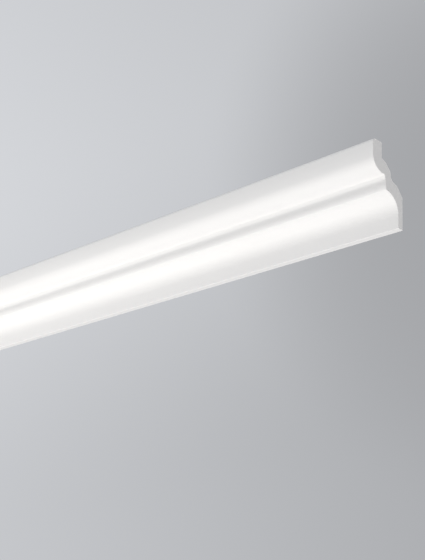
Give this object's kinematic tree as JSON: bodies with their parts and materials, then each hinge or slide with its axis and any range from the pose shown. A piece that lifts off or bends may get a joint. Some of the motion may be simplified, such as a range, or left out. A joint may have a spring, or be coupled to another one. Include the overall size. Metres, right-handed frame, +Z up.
{
  "type": "crown moulding length",
  "caption": "Straight length of light foam crown moulding with an ovolo over a cavetto between plain fillets, stepped hollow back and square-cut ends, glued between wall and ceiling.",
  "frame": {"origin": "middle of the flat strip that is glued to the wall, halfway along the length", "axes": "+X along the length, +Y into the wall, +Z up to the ceiling; the moulded face looks towards -Y and down"},
  "size_m": [0.7, 0.0463, 0.08],
  "materials": {
    "primed_foam": "matt white primer over fine-celled rigid foam"
  },
  "bodies": {
    "root": {"crown_moulding": "primed_foam"}
  },
  "joints": []
}
